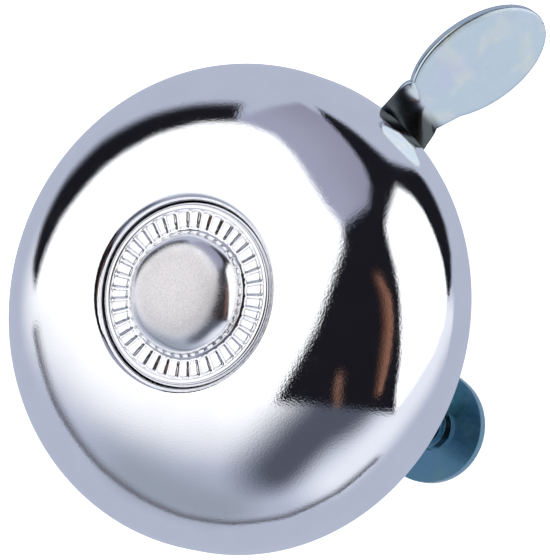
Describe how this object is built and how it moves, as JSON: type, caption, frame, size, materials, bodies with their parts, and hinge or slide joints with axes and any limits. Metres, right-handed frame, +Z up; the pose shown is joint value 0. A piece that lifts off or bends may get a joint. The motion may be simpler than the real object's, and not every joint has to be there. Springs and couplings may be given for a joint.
{
  "type": "bicycle bell",
  "caption": "Thumb-operated dome bell: a chromed gong over a geared rotor with loose strikers, on a screwed handlebar clamp.",
  "frame": {"origin": "middle of the handlebar that the clamp holds", "axes": "+X along the handlebar towards the thumb lever, +Z up along the bell's own axis through the gong, +Y towards the left clamp screw"},
  "size_m": [0.0732, 0.055, 0.0494],
  "materials": {
    "chrome_dome": "bright chrome plate over pressed steel",
    "chrome_cap": "chrome plate, slightly matte on the pressed boss",
    "zinc_plate": "blue-passivated zinc plate on sheet steel",
    "zinc_lever": "blue-passivated zinc plate, satin with a faint iridescence",
    "zinc_screws": "bright zinc-plated fasteners",
    "plain_steel": "plain turned and punched steel",
    "spring_steel": "dark spring steel",
    "brass": "plain brass"
  },
  "bodies": {
    "base": {"gong": "chrome_dome", "boss_cap": "chrome_cap", "gong_nut": "plain_steel", "gong_seat_washer": "zinc_plate", "centre_stud": "plain_steel", "base_plate": "zinc_plate", "clamp_saddle": "zinc_plate", "lever_rivet": "plain_steel", "lever_washer": "brass", "return_spring": "spring_steel", "spring_post": "plain_steel", "gear_post": "plain_steel", "gear_clip": "spring_steel", "rotor_clip": "spring_steel"},
    "lever": {"thumb_lever": "zinc_lever"},
    "double_gear": {"intermediate_pinion": "brass", "intermediate_wheel": "brass"},
    "rotor": {"rotor_pinion": "brass", "rotor_bar": "zinc_plate", "striker_pin_left": "plain_steel", "striker_pin_right": "plain_steel", "striker_retainer_left": "plain_steel", "striker_retainer_right": "plain_steel"},
    "striker_left": {"striker_left": "plain_steel"},
    "striker_right": {"striker_right": "plain_steel"},
    "clamp_lower": {"clamp_strap": "zinc_plate", "lock_washer_left": "zinc_screws", "lock_washer_right": "zinc_screws"},
    "screw_left": {"clamp_screw_left": "zinc_screws"},
    "screw_right": {"clamp_screw_right": "zinc_screws"}
  },
  "joints": [
    {"name": "lever_swing", "type": "hinge", "parent": "base", "child": "lever", "pos_m": [0.0146, 0.0019, 0.0165], "axis": [0, 0, 1], "range_deg": [0, 32], "stiffness_Nm_per_rad": 0.08, "springref_deg": -17.19, "deforming": ["return_spring"]},
    {"name": "double_gear_turn", "type": "hinge", "parent": "base", "child": "double_gear", "pos_m": [0.00429, 0.0128, 0.0165], "axis": [0, 0, 1], "range_deg": [-128, 0]},
    {"name": "rotor_spin", "type": "hinge", "parent": "base", "child": "rotor", "pos_m": [0, 0, 0.0185], "axis": [0, 0, 1], "range_deg": [0, 256]},
    {"name": "striker_left_slip", "type": "slide", "parent": "rotor", "child": "striker_left", "axis": [0.5, 0.866, 0], "range_m": [-0.0011, 0.0011]},
    {"name": "striker_right_slip", "type": "slide", "parent": "rotor", "child": "striker_right", "axis": [-0.5, -0.866, 0], "range_m": [-0.0011, 0.0011]},
    {"name": "clamp_open", "type": "slide", "parent": "base", "child": "clamp_lower", "axis": [0, 0, -1], "range_m": [0, 0.0021]},
    {"name": "screw_left_turn", "type": "hinge", "parent": "clamp_lower", "child": "screw_left", "pos_m": [0, 0.0192, 0], "axis": [0, 0, -1], "range_deg": [0, 1080]},
    {"name": "screw_right_turn", "type": "hinge", "parent": "clamp_lower", "child": "screw_right", "pos_m": [0, -0.0192, 0], "axis": [0, 0, -1], "range_deg": [0, 1080]}
  ],
  "couplings": [
    {"joint": "double_gear_turn", "follows": "lever_swing", "ratio": -4},
    {"joint": "rotor_spin", "follows": "lever_swing", "ratio": 8},
    {"joint": "screw_left_turn", "follows": "clamp_open", "rad_per_m": 8976},
    {"joint": "screw_right_turn", "follows": "clamp_open", "rad_per_m": 8976}
  ]
}
